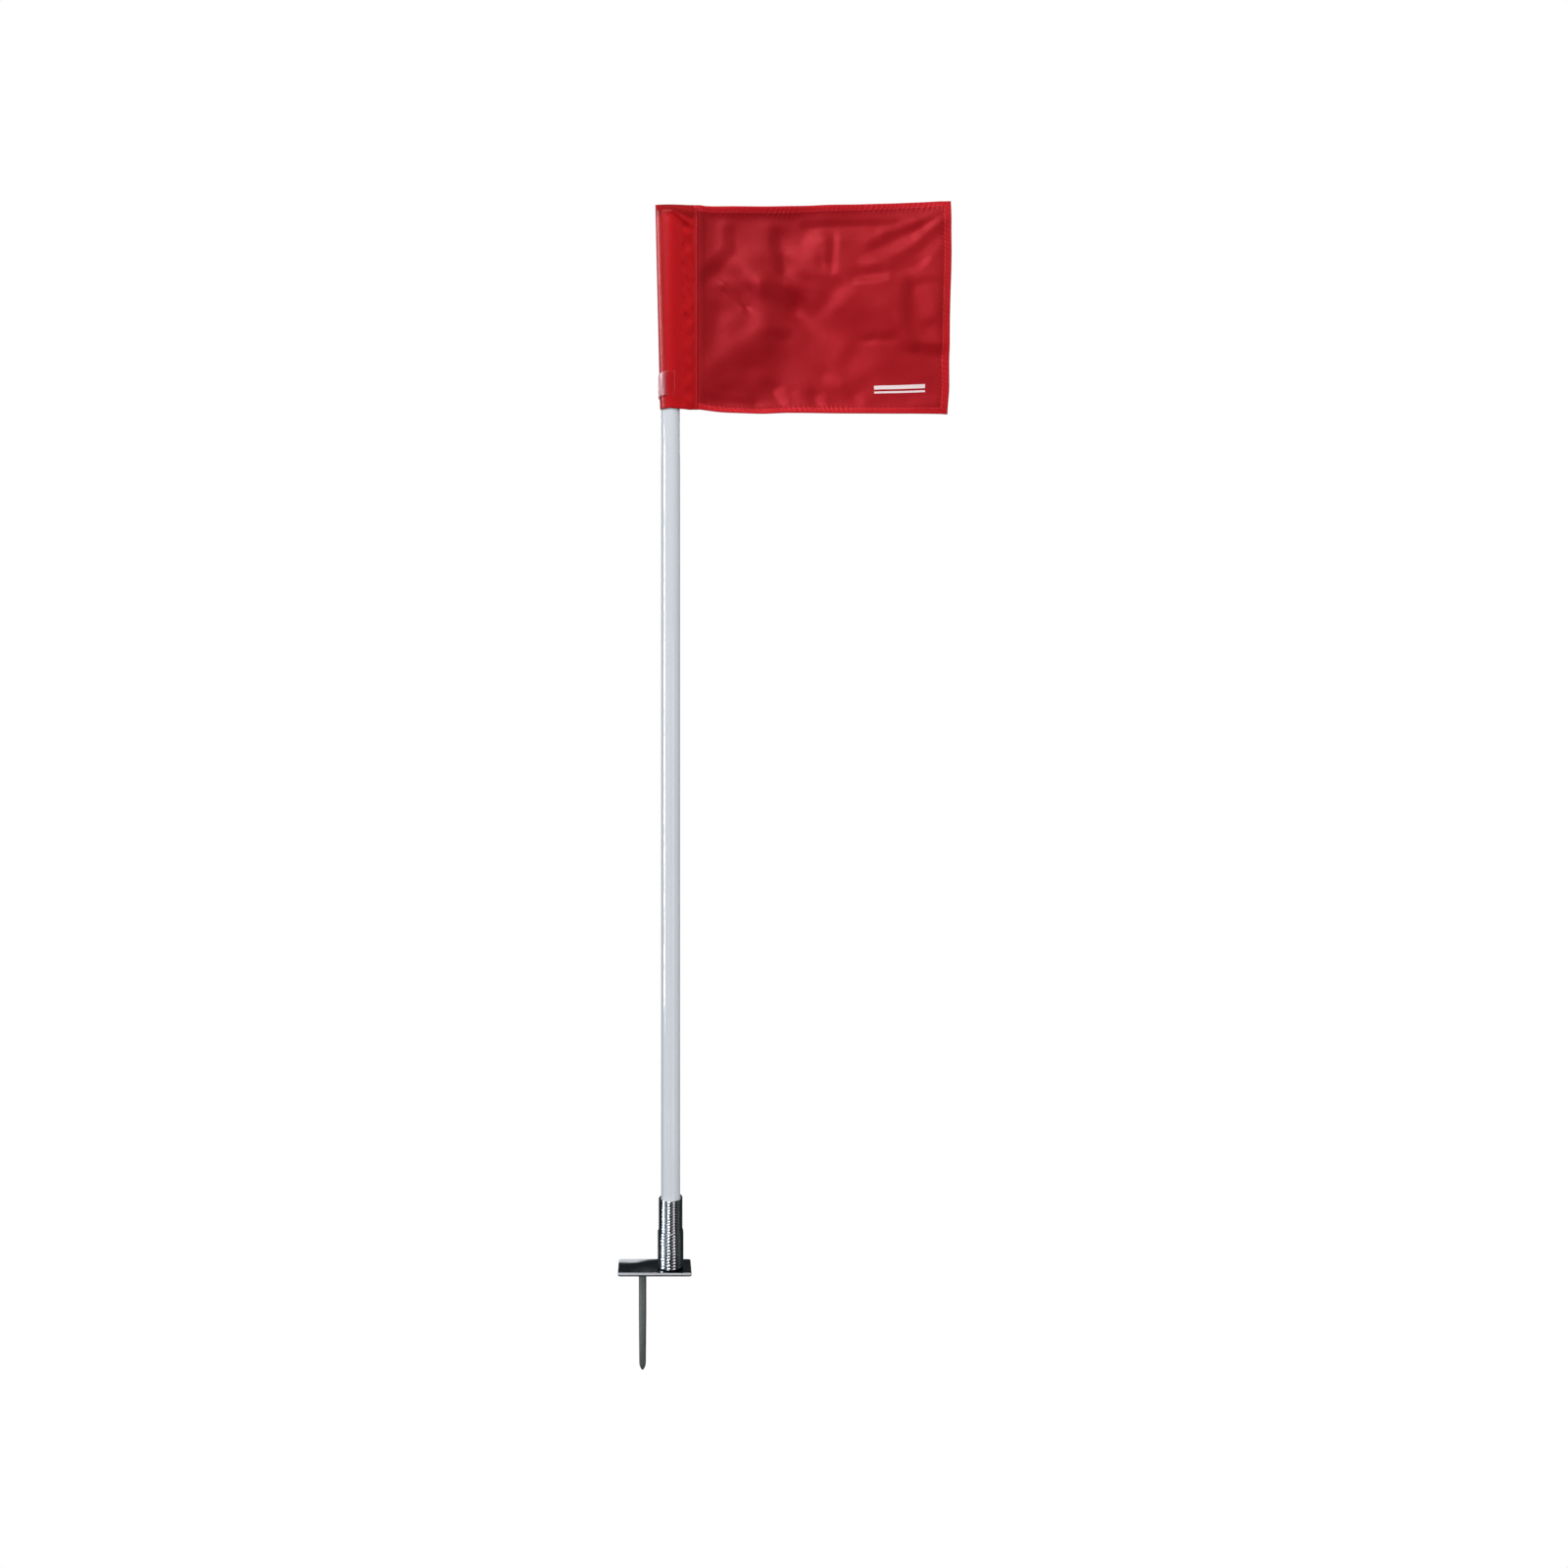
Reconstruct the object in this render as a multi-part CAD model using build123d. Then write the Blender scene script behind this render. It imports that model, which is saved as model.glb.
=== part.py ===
from build123d import *
from math import cos, radians, sin
import os

# Spring-based marker flagstick, in millimetres. The origin is on the ground spike's axis at the underside
# of the foot plate. +Z runs up the pole, +X from the spike towards the pole and the flag's fly edge, and
# the flag hangs in the XZ plane, seen from -Y. Shapes on the pole are built round the Z axis and moved.

# Foot plate
PLATE_LEFT = -32.0
PLATE_RIGHT = 64.0
PLATE_WIDTH = 38.0
PLATE_T = 5.0
PLATE_CORNER_R = 3.0
PLATE_EDGE_R = 0.8

# Ground spike, riveted flush into the plate
SPIKE_R = 5.0
SPIKE_TIP_R = 4.4
SPIKE_STRAIGHT = 60.0
SPIKE_TAPER_END = 122.0
SPIKE_LENGTH = 132.0
SPIKE_NOSE_R = 16.0
SPIKE_END_R = 1.0
SPIKE_SPIGOT_R = 4.0

# Pole, with a cap in its top and a plug in its foot
POLE_X = 37.0
POLE_R = 12.5
POLE_BORE_R = 10.5
POLE_BOTTOM = 75.0
POLE_TOP = 1387.5
CAP_T = 2.5
CAP_PLUG_DEPTH = 14.0
FOOT_PLUG_DEPTH = 28.0
FOOT_PLUG_BORE_R = 7.5
END_EDGE_R = 0.6

# Base spring: one wire at a constant helix angle, wider at the stub than at the pole
WIRE_R = 1.6
SPRING_FIT = 0.1
UPPER_COIL_R = POLE_R + SPRING_FIT + WIRE_R
LOWER_COIL_R = UPPER_COIL_R + 1.3
PITCH_PER_COIL_R = 0.2514
LOWER_TURNS = 11.5
UPPER_TURNS = 11.8
SPRING_START_DEG = 120.0

# Stub that the foot of the spring grips, riveted into the plate
STUB_R = LOWER_COIL_R - WIRE_R - SPRING_FIT
STUB_HEIGHT = 9.0
STUB_CHAMFER = 1.5
STUB_SPIGOT_R = 5.0

# Flag, with X counted from the pole's axis: a sleeve round the pole, a flat seam, then the panel
PANEL_T = 1.0
SLEEVE_R = POLE_R + 0.4
SLEEVE_T = 1.0
SEAM_START = 29.0
SEAM_END = 36.0
SEAM_LAYER_T = 0.6
PANEL_START = 31.0
FLAG_FLY = 367.0
HOIST_BOTTOM = 1136.5
HOIST_TOP = 1406.5
FLY_BOTTOM = 1129.5
FLY_TOP = 1411.0
SLEEVE_BOTTOM = 1133.5
SLEEVE_ROOF = 1391.0
FLY_HEM = 11.0
EDGE_HEM = 9.0
HEM_T = 2.0

# Sewing thread, lying on both faces of the cloth
THREAD_W = 0.6
THREAD_T = 0.3
SLEEVE_THREAD_X = 33.5
HEM_THREAD_INSET = 1.5

# Snap clip that holds the sleeve on the pole
CLIP_GAP = 0.3
CLIP_WALL = 2.2
CLIP_BOTTOM = 1151.0
CLIP_HEIGHT = 30.0
CLIP_MOUTH_DEG = 70.0


def at_pole(shape):
    """Moves a shape built round the Z axis to the pole's axis."""
    return Pos(POLE_X, 0, 0) * shape


def foot_plate():
    """Flat bar with rounded corners, softened edges and two spigot holes."""
    middle = (PLATE_LEFT + PLATE_RIGHT) / 2
    with BuildPart() as plate:
        with BuildSketch():
            with Locations((middle, 0)):
                RectangleRounded(PLATE_RIGHT - PLATE_LEFT, PLATE_WIDTH, PLATE_CORNER_R)
        extrude(amount=PLATE_T)
        rims = plate.faces().sort_by(Axis.Z)
        fillet(rims[0].edges() + rims[-1].edges(), PLATE_EDGE_R)
        with Locations((0, 0, PLATE_T)):
            Hole(SPIKE_SPIGOT_R)
        with Locations((POLE_X, 0, PLATE_T)):
            Hole(STUB_SPIGOT_R)
    return plate.part


def ground_spike():
    """Round bar: spigot through the plate, straight shank, slight taper and a blunt bullet tip."""
    with BuildPart() as spike:
        with BuildSketch(Plane.XZ):
            with BuildLine():
                side = Polyline(
                    (0, PLATE_T),
                    (SPIKE_SPIGOT_R, PLATE_T),
                    (SPIKE_SPIGOT_R, 0),
                    (SPIKE_R, 0),
                    (SPIKE_R, -SPIKE_STRAIGHT),
                    (SPIKE_TIP_R, -SPIKE_TAPER_END),
                )
                nose = RadiusArc(side @ 1, (SPIKE_END_R, -SPIKE_LENGTH), SPIKE_NOSE_R)
                Polyline(nose @ 1, (0, -SPIKE_LENGTH), side @ 0)
            make_face()
        revolve(axis=Axis.Z)
    return spike.part


def spring_stub():
    """Turned boss inside the foot of the spring, with a spigot through the plate."""
    on_base = (Align.CENTER, Align.CENTER, Align.MIN)
    with BuildPart() as stub:
        with Locations((0, 0, PLATE_T)):
            Cylinder(STUB_R, STUB_HEIGHT, align=on_base)
        chamfer(stub.faces().sort_by(Axis.Z)[-1].edges(), STUB_CHAMFER)
        Cylinder(STUB_SPIGOT_R, PLATE_T, align=on_base)
    return at_pole(stub.part)


def base_spring():
    """One round wire: wide turns, half a turn stepping in, and narrow turns, tangent to each other."""
    middle_r = (LOWER_COIL_R + UPPER_COIL_R) / 2
    lower_h = LOWER_TURNS * PITCH_PER_COIL_R * LOWER_COIL_R
    step_h = PITCH_PER_COIL_R * middle_r / 2
    upper_h = UPPER_TURNS * PITCH_PER_COIL_R * UPPER_COIL_R
    step_z = PLATE_T + WIRE_R + lower_h
    lower = Pos(0, 0, PLATE_T + WIRE_R) * Helix(PITCH_PER_COIL_R * LOWER_COIL_R, lower_h, LOWER_COIL_R)
    step = Helix(2 * step_h, step_h, middle_r)
    step = Pos(middle_r - LOWER_COIL_R, 0, step_z) * Rot(0, 0, 180) * step
    upper = Pos(0, 0, step_z + step_h) * Helix(PITCH_PER_COIL_R * UPPER_COIL_R, upper_h, UPPER_COIL_R)
    section = Plane(origin=lower @ 0, z_dir=lower % 0) * Circle(WIRE_R)
    wire = sweep(section, path=Wire([lower, step, upper]))
    return at_pole(Rot(0, 0, SPRING_START_DEG) * wire)


def pole_tube():
    """Round tube, from inside the top of the spring to inside the closed sleeve."""
    with BuildPart() as tube:
        with BuildSketch(Plane.XY.offset(POLE_BOTTOM)):
            Circle(POLE_R)
            Circle(POLE_BORE_R, mode=Mode.SUBTRACT)
        extrude(amount=POLE_TOP - POLE_BOTTOM)
    return at_pole(tube.part)


def top_cap():
    """Disc over the tube's top end with a plug in its bore."""
    with BuildPart() as cap:
        with Locations((0, 0, POLE_TOP)):
            Cylinder(POLE_R, CAP_T, align=(Align.CENTER, Align.CENTER, Align.MIN))
        fillet(cap.faces().sort_by(Axis.Z)[-1].edges(), END_EDGE_R)
        with Locations((0, 0, POLE_TOP)):
            Cylinder(POLE_BORE_R, CAP_PLUG_DEPTH, align=(Align.CENTER, Align.CENTER, Align.MAX))
    return at_pole(cap.part)


def foot_plug():
    """Ring-shaped plug that keeps the tube's foot round where the spring grips it."""
    with BuildPart() as plug:
        with BuildSketch(Plane.XY.offset(POLE_BOTTOM)):
            Circle(POLE_BORE_R)
            Circle(FOOT_PLUG_BORE_R, mode=Mode.SUBTRACT)
        extrude(amount=FOOT_PLUG_DEPTH)
    return at_pole(plug.part)


def sleeve_block(radius, seam_half, roof_top, far_end):
    """Solid teardrop round the pole and along the seam, its top pinched flat like a pillowcase's end."""
    with BuildPart() as block:
        with BuildSketch(Plane.XY.offset(SLEEVE_BOTTOM)):
            Circle(radius)
            with Locations((SEAM_START, 0)):
                Rectangle(seam_half, 2 * seam_half, align=(Align.MIN, Align.CENTER))
            make_hull()
            with Locations((SEAM_START, 0)):
                Rectangle(far_end - SEAM_START, 2 * seam_half, align=(Align.MIN, Align.CENTER))
        extrude(amount=HOIST_TOP - SLEEVE_BOTTOM)
        with BuildSketch(Plane.YZ):
            Polygon(
                (-radius, SLEEVE_BOTTOM),
                (radius, SLEEVE_BOTTOM),
                (radius, SLEEVE_ROOF),
                (seam_half, roof_top),
                (-seam_half, roof_top),
                (-radius, SLEEVE_ROOF),
                align=None,
            )
        extrude(amount=2 * far_end, both=True, mode=Mode.INTERSECT)
    return block.part


def flag_sleeve():
    """Cloth tube round the pole, pinched shut at the top, its two-layer seam round the panel's edge."""
    panel_half = PANEL_T / 2
    outside = sleeve_block(SLEEVE_R + SLEEVE_T, panel_half + SEAM_LAYER_T, HOIST_TOP, SEAM_END)
    inside = sleeve_block(SLEEVE_R, panel_half, HOIST_TOP - SLEEVE_T, PANEL_START)
    slot = Pos(PANEL_START, 0, 0) * Box(
        SEAM_END - PANEL_START, PANEL_T, 2 * HOIST_TOP, align=(Align.MIN, Align.CENTER, Align.CENTER)
    )
    return at_pole(outside - inside - slot)


def edge_z(x, hoist, fly):
    """Height of the flag's top or bottom edge at x, straight from the hoist to the fly."""
    return hoist + (fly - hoist) * (x - PANEL_START) / (FLAG_FLY - PANEL_START)


def panel_outline(left, right, inset):
    """Four-sided piece of the flag between two X values, its top and bottom edges moved in by inset."""
    with BuildSketch(Plane.XZ) as outline:
        Polygon(
            (left, edge_z(left, HOIST_BOTTOM, FLY_BOTTOM) + inset),
            (right, edge_z(right, HOIST_BOTTOM, FLY_BOTTOM) + inset),
            (right, edge_z(right, HOIST_TOP, FLY_TOP) - inset),
            (left, edge_z(left, HOIST_TOP, FLY_TOP) - inset),
            align=None,
        )
    return outline.sketch


def flag_panel():
    """Rectangular cloth with folded hems along its top, fly and bottom edges."""
    with BuildPart() as panel:
        add(extrude(panel_outline(PANEL_START, FLAG_FLY, 0), PANEL_T / 2, both=True))
        add(extrude(panel_outline(SEAM_END, FLAG_FLY, 0), HEM_T / 2, both=True))
        window = extrude(panel_outline(SEAM_END, FLAG_FLY - FLY_HEM, EDGE_HEM), HEM_T / 2, both=True)
        add(window, mode=Mode.SUBTRACT)
        add(extrude(panel_outline(SEAM_END, FLAG_FLY - FLY_HEM, EDGE_HEM), PANEL_T / 2, both=True))
    return at_pole(panel.part)


def face_strips(outline, start):
    """The same thin strip on both faces of the cloth, standing off the middle plane by start."""
    front = Pos(0, -start, 0) * extrude(outline, THREAD_T)
    return Compound(children=[front, mirror(front, Plane.XZ)])


def sleeve_thread():
    """Straight stitch line down the seam, on both faces."""
    stitch = panel_outline(SLEEVE_THREAD_X, SLEEVE_THREAD_X + THREAD_W, EDGE_HEM / 3)
    return at_pole(face_strips(stitch, PANEL_T / 2 + SEAM_LAYER_T))


def hem_thread():
    """Stitch line just inside the edge of the three hems, on both faces."""
    right = FLAG_FLY - FLY_HEM + HEM_THREAD_INSET
    inset = EDGE_HEM - HEM_THREAD_INSET
    left = SEAM_END + THREAD_W
    inner = panel_outline(left, right - THREAD_W, inset + THREAD_W)
    stitch = panel_outline(left, right, inset) - inner
    return at_pole(face_strips(stitch, HEM_T / 2))


def flag_clip():
    """Springy C-shaped clip pushed on round the sleeve, its mouth towards the panel."""
    inner = SLEEVE_R + SLEEVE_T + CLIP_GAP
    outer = inner + CLIP_WALL
    middle = (inner + outer) / 2
    mouth = radians(CLIP_MOUTH_DEG)
    reach = 2 * outer / cos(mouth)
    with BuildPart() as clip:
        with BuildSketch(Plane.XY.offset(CLIP_BOTTOM)):
            Circle(outer)
            Circle(inner, mode=Mode.SUBTRACT)
            corner = (reach * cos(mouth), reach * sin(mouth))
            Polygon((0, 0), (corner[0], -corner[1]), corner, align=None, mode=Mode.SUBTRACT)
            lip = (middle * cos(mouth), middle * sin(mouth))
            with Locations(lip, (lip[0], -lip[1])):
                Circle(CLIP_WALL / 2)
        extrude(amount=CLIP_HEIGHT)
    return at_pole(clip.part)


NODES = {
    "foot_plate": foot_plate,
    "ground_spike": ground_spike,
    "spring_stub": spring_stub,
    "base_spring": base_spring,
    "pole_tube": pole_tube,
    "top_cap": top_cap,
    "foot_plug": foot_plug,
    "flag_panel": flag_panel,
    "flag_sleeve": flag_sleeve,
    "sleeve_thread": sleeve_thread,
    "hem_thread": hem_thread,
    "flag_clip": flag_clip,
}

os.makedirs("parts", exist_ok=True)
for name, build in NODES.items():
    export_step(build(), f"parts/{name}.step")
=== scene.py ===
import math

import bpy
import numpy as np
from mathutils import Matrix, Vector

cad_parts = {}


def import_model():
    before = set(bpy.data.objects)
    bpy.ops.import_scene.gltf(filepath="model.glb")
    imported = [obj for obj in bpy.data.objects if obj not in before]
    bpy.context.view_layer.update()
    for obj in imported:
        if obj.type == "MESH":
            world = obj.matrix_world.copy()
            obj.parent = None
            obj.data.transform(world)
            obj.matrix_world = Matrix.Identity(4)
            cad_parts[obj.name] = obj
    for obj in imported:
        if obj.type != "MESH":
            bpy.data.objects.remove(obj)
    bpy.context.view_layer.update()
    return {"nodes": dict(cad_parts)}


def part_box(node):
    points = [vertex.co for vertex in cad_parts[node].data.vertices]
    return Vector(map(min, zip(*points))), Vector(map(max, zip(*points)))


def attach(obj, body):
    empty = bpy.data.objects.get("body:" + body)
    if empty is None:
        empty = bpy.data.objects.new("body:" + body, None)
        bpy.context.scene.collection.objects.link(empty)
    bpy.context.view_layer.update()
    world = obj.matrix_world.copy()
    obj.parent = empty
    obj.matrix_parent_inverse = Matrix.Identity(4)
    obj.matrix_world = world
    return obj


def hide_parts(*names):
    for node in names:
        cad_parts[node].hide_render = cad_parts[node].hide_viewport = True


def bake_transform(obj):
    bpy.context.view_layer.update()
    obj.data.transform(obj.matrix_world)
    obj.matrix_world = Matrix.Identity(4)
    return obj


# A practice-green flagstick: spike, plate, bending spring, white tube, red sleeve-hung flag and clear clip.
# All sizes are in metres, in the CAD frame: +Z up, +X towards the flag's fly edge, seen from -Y.
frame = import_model()

MM = 0.001

# Places read from the frame
SPIKE_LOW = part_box("ground_spike")[0]
PLATE_LOW, PLATE_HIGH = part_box("foot_plate")
TUBE_LOW, TUBE_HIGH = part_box("pole_tube")
PANEL_LOW, PANEL_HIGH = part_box("flag_panel")
SLEEVE_LOW, SLEEVE_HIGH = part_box("flag_sleeve")
CLIP_LOW, CLIP_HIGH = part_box("flag_clip")
POLE_X = (TUBE_LOW.x + TUBE_HIGH.x) / 2
POLE_R = (TUBE_HIGH.x - TUBE_LOW.x) / 2
POLE_BORE_R = 10.5 * MM

# Spring wire, as wound in the CAD model; a turn's rise is a share of its coil's radius
WIRE_R = 1.6 * MM
COIL_R_LOWER = 15.5 * MM
COIL_R_UPPER = 14.2 * MM
PITCH_PER_COIL_R = 0.2514
LOWER_TURNS = 11.5
UPPER_TURNS = 11.8
SPRING_START_DEG = 120.0
SPRING_FREE_LOW = 14 * MM
SPRING_MIDDLE = 44.5 * MM
SPRING_FREE_HIGH = 75 * MM

# Flag: x is counted from the pole's axis, and the seam is where the sleeve's two faces are sewn together
SEAM_X = 32.0 * MM
SEAM_EDGE_X = 36.0 * MM
SEAM_STITCH_X = 33.6 * MM
PANEL_START_X = 31.0 * MM
FLY_X = PANEL_HIGH.x - POLE_X
HOIST_BOTTOM = 1136.5 * MM
HOIST_TOP = SLEEVE_HIGH.z
PANEL_W = FLY_X - SEAM_X
PANEL_H = HOIST_TOP - HOIST_BOTTOM
FLY_BOTTOM = PANEL_LOW.z
FLY_TOP = PANEL_HIGH.z
FLY_HEM = 10.5 * MM
EDGE_HEM = 8.5 * MM
CLOTH_T = 0.45 * MM
HEM_T = 0.16 * MM
SLEEVE_R = 13.9 * MM
SLEEVE_BOTTOM = SLEEVE_LOW.z
SLEEVE_BACK_RISE = 11 * MM
SLEEVE_SLACK = 6.4 * MM
SLEEVE_BACK_SHARE = 0.8
SLEEVE_ROOF = 1391 * MM
SEAM_HALF = 1.0 * MM
STITCH_PITCH = 3.2 * MM
STITCH_LENGTH = 2.5 * MM
THREAD_R = 0.2 * MM


# ---------------------------------------------------------------- numbers and meshes

def smooth(low, high, x):
    """0 below low, 1 above high, and a soft step between them."""
    t = np.clip((x - low) / (high - low), 0, 1)
    return t * t * (3 - 2 * t)


def ripple(x, z, size, seed, waves=9):
    """Smooth random relief between about -1 and 1, with bumps about that size across."""
    rng = np.random.default_rng(seed)
    total = np.zeros_like(x)
    for _ in range(waves):
        angle = rng.uniform(0, math.tau)
        pace = math.tau / (size * rng.uniform(1.4, 3.2))
        phase = rng.uniform(0, math.tau)
        total += np.sin(pace * (x * math.cos(angle) + z * math.sin(angle)) + phase)
    return total / math.sqrt(waves * 1.2)


def nearest_on(x, z, points):
    """Distance from each place to a line of points, and the share of its length at which it is nearest."""
    nearest = np.full(np.shape(x), 1e9)
    along = np.zeros_like(nearest)
    run = 0.0
    for (ax, az), (bx, bz) in zip(points, points[1:]):
        dx, dz = bx - ax, bz - az
        length = math.hypot(dx, dz)
        t = np.clip(((x - ax) * dx + (z - az) * dz) / length ** 2, 0, 1)
        distance = np.hypot(x - ax - t * dx, z - az - t * dz)
        along = np.where(distance < nearest, run + t * length, along)
        nearest = np.minimum(nearest, distance)
        run += length
    return nearest, along / run


def fold(x, z, points, width, height, end_width=None):
    """Relief of one soft fold along a line of points, fading out at both its ends."""
    away, share = nearest_on(x, z, points)
    spread = width + ((end_width or width) - width) * share
    fade = smooth(0, 0.3, share) * (1 - smooth(0.7, 1, share))
    return height * fade * np.exp(-(away / spread) ** 2)


def mesh_object(name, verts, faces, material, smooth_shading=True):
    mesh = bpy.data.meshes.new(name)
    mesh.from_pydata([tuple(v) for v in verts], [], [tuple(int(i) for i in f) for f in faces])
    mesh.validate()
    mesh.update()
    mesh.polygons.foreach_set("use_smooth", [smooth_shading] * len(mesh.polygons))
    mesh.materials.append(material)
    piece = bpy.data.objects.new(name, mesh)
    bpy.context.scene.collection.objects.link(piece)
    return piece


def grid_faces(rows, columns, start=0, wrap=False, flip=False):
    """Quads of a grid of rows x columns points, closed across its columns if it wraps."""
    r = np.arange(rows - 1)[:, None] * columns + start
    c = np.arange(columns if wrap else columns - 1)[None, :]
    right = (c + 1) % columns
    quads = np.stack([r + c, r + right, r + columns + right, r + columns + c], axis=-1)
    quads = quads.reshape(-1, 4)
    return quads[:, ::-1] if flip else quads


def skin_faces(rings, sides, start=0):
    """Faces of a skin over rings of points, closed round it and at both its ends."""
    first = range(start, start + sides)
    last = range(start + (rings - 1) * sides, start + rings * sides)
    return [*grid_faces(rings, sides, start, wrap=True), first[::-1], last]


def sheet_faces(rows, columns, flip=False):
    """Faces of a closed sheet: a grid of points, the same grid again behind it, and the rim between them."""
    count = rows * columns
    index = np.arange(count).reshape(rows, columns)
    loop = np.concatenate([index[0, :-1], index[:-1, -1], index[-1, :0:-1], index[:0:-1, 0]])
    following = np.roll(loop, -1)
    first, second = (loop, following) if flip else (following, loop)
    rim = np.stack([first, second, second + count, first + count], -1)
    return [*grid_faces(rows, columns, flip=flip), *grid_faces(rows, columns, count, flip=not flip), *rim]


def lathe(name, profile, material, centre_x, segments):
    """Turns a profile of (radius, z) points round a vertical axis; it ends on the axis or where it starts."""
    turn = np.linspace(0, math.tau, segments, endpoint=False)
    verts = [(centre_x + r * math.cos(a), r * math.sin(a), z) for r, z in profile for a in turn]
    return mesh_object(name, verts, grid_faces(len(profile), segments, wrap=True), material)


def round_corners(left, right, low, high, radius, steps):
    """Outline of a rectangle with round corners, as points and the directions that face out of it there."""
    points, outward = [], []
    corners = [
        (right - radius, low + radius, -90),
        (right - radius, high - radius, 0),
        (left + radius, high - radius, 90),
        (left + radius, low + radius, 180),
    ]
    for x, y, start in corners:
        for i in range(steps + 1):
            a = math.radians(start + 90 * i / steps)
            points.append((x + radius * math.cos(a), y + radius * math.sin(a)))
            outward.append((math.cos(a), math.sin(a)))
    return points, outward


def tube_mesh(points, radius, sides, start=0, up=(0, 0, 1.0)):
    """Vertices and faces of a round tube along points, closed by slightly domed ends."""
    points = np.asarray(points)
    along = np.gradient(points, axis=0)
    along /= np.linalg.norm(along, axis=1)[:, None]
    side = np.cross(along, up)
    side /= np.linalg.norm(side, axis=1)[:, None]
    other = np.cross(side, along)
    turn = np.linspace(0, math.tau, sides, endpoint=False)
    rings = [(points[0], 0, radius * 0.05), (points[0], 0, radius * 0.8)]
    middle = [(p, i, radius) for i, p in enumerate(points)]
    last = len(points) - 1
    ends = [(points[-1], last, radius * 0.8), (points[-1], last, radius * 0.05)]
    verts = []
    for p, i, r in rings + middle + ends:
        verts.extend(p + r * (np.cos(turn)[:, None] * side[i] + np.sin(turn)[:, None] * other[i]))
    shift = 0.25 * radius
    verts = np.array(verts)
    verts[: 2 * sides] -= along[0] * shift * np.repeat([1.1, 0.8], sides)[:, None]
    verts[-2 * sides:] += along[-1] * shift * np.repeat([0.8, 1.1], sides)[:, None]
    return verts, skin_faces(len(points) + 4, sides, start)


def add_point_values(piece, name, values):
    """Stores one number for each vertex, for a material to read."""
    layer = piece.data.attributes.new(name, "FLOAT", "POINT")
    layer.data.foreach_set("value", np.asarray(values, np.float32))


# ---------------------------------------------------------------- materials

class Nodes:
    """Short calls that make and link the nodes of one node tree."""

    def __init__(self, tree):
        self.nodes = tree.nodes
        self.links = tree.links

    def node(self, kind, **settings):
        made = self.nodes.new(kind)
        for key, value in settings.items():
            setattr(made, key, value)
        return made

    def put(self, slot, value):
        """Links an output to a socket, or sets the socket to a number or a colour."""
        if isinstance(value, bpy.types.NodeSocket):
            self.links.new(value, slot)
        else:
            slot.default_value = (*value, 1.0) if isinstance(value, tuple) else value

    def made_from(self, kind, values, **settings):
        """First output of a new node whose first sockets get the values, in order."""
        made = self.node(kind, **settings)
        for slot, value in zip(made.inputs, values):
            self.put(slot, value)
        return made.outputs[0]

    def made_into(self, kind, surface):
        """New output node that shows the surface."""
        self.put(self.node(kind).inputs["Surface"], surface)

    def math(self, operation, *values):
        return self.made_from("ShaderNodeMath", values, operation=operation)

    def ramp(self, value, low, high, first, last):
        """Maps value from low..high to first..last, held at both ends."""
        return self.made_from("ShaderNodeMapRange", (value, low, high, first, last))


class Finish(Nodes):
    """A node material with one Principled shader and short calls for the nodes around it."""

    def __init__(self, name, **sockets):
        self.material = bpy.data.materials.new(name)
        self.material.use_nodes = True
        super().__init__(self.material.node_tree)
        self.shader = self.nodes["Principled BSDF"]
        self.place = self.node("ShaderNodeTexCoord").outputs["Object"]
        for key, value in sockets.items():
            self.feed(key.replace("_", " ").title().replace("Ior", "IOR"), value)

    def feed(self, socket, value):
        self.put(self.shader.inputs[socket], value)

    def stretched(self, scale):
        """The place with each axis scaled."""
        mapping = self.node("ShaderNodeMapping")
        mapping.inputs["Scale"].default_value = scale
        self.put(mapping.inputs["Vector"], self.place)
        return mapping.outputs["Vector"]

    def split(self, vector):
        """X, Y and Z of a vector."""
        apart = self.node("ShaderNodeSeparateXYZ")
        self.put(apart.inputs["Vector"], vector)
        return apart.outputs

    def noise(self, scale, detail=3.0, roughness=0.5, vector=None):
        made = self.node("ShaderNodeTexNoise")
        self.put(made.inputs["Scale"], scale)
        self.put(made.inputs["Detail"], detail)
        self.put(made.inputs["Roughness"], roughness)
        self.put(made.inputs["Vector"], vector or self.place)
        return made.outputs["Fac"]

    def mix(self, factor, first, last):
        """Colour from first to last by factor."""
        made = self.node("ShaderNodeMix", data_type="RGBA")
        self.put(made.inputs["Factor"], factor)
        self.put(made.inputs[6], first)
        self.put(made.inputs[7], last)
        return made.outputs[2]

    def bump(self, height, distance, strength=1.0, after=None):
        made = self.node("ShaderNodeBump")
        self.put(made.inputs["Distance"], distance)
        self.put(made.inputs["Strength"], strength)
        self.put(made.inputs["Height"], height)
        if after is not None:
            self.put(made.inputs["Normal"], after)
        return made.outputs["Normal"]

    def attribute(self, name):
        return self.node("ShaderNodeAttribute", attribute_name=name).outputs["Fac"]


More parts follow.
